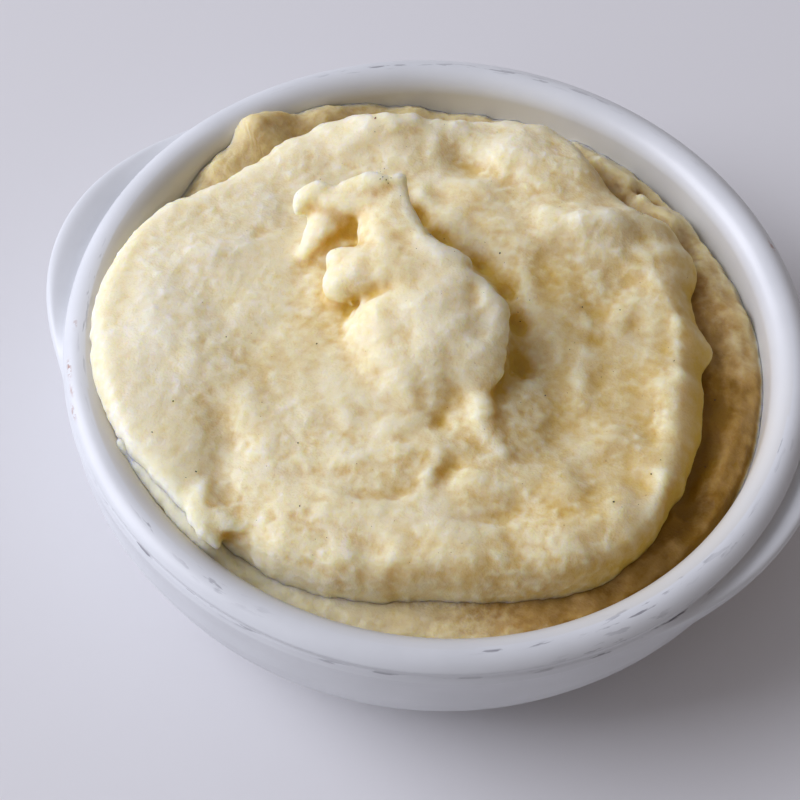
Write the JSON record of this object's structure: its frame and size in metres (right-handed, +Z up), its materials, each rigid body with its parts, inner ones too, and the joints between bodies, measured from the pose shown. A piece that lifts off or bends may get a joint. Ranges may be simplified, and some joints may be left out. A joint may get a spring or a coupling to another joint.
{
  "type": "mashed potato side dish",
  "caption": "Round eared earthenware dish filled to the wall with mashed potato, with a second spooned helping on top that ends in a curled dollop.",
  "frame": {"origin": "middle of the dish's underside, on the surface it stands on", "axes": "+Z up out of the dish, +X through the middle of the right ear"},
  "size_m": [0.1736, 0.1592, 0.0625],
  "materials": {
    "white_glaze": "opaque white glaze over terracotta, worn from glossy to satin and marked by metal cutlery",
    "packed_mash": "soft food, slightly dried and coarse, semi matt",
    "spooned_mash": "soft food, creamy and moist, soft sheen with fine lumps"
  },
  "bodies": {
    "root": {"eared_dish": "white_glaze", "packed_mash": "packed_mash", "spooned_mash": "spooned_mash"}
  },
  "joints": []
}
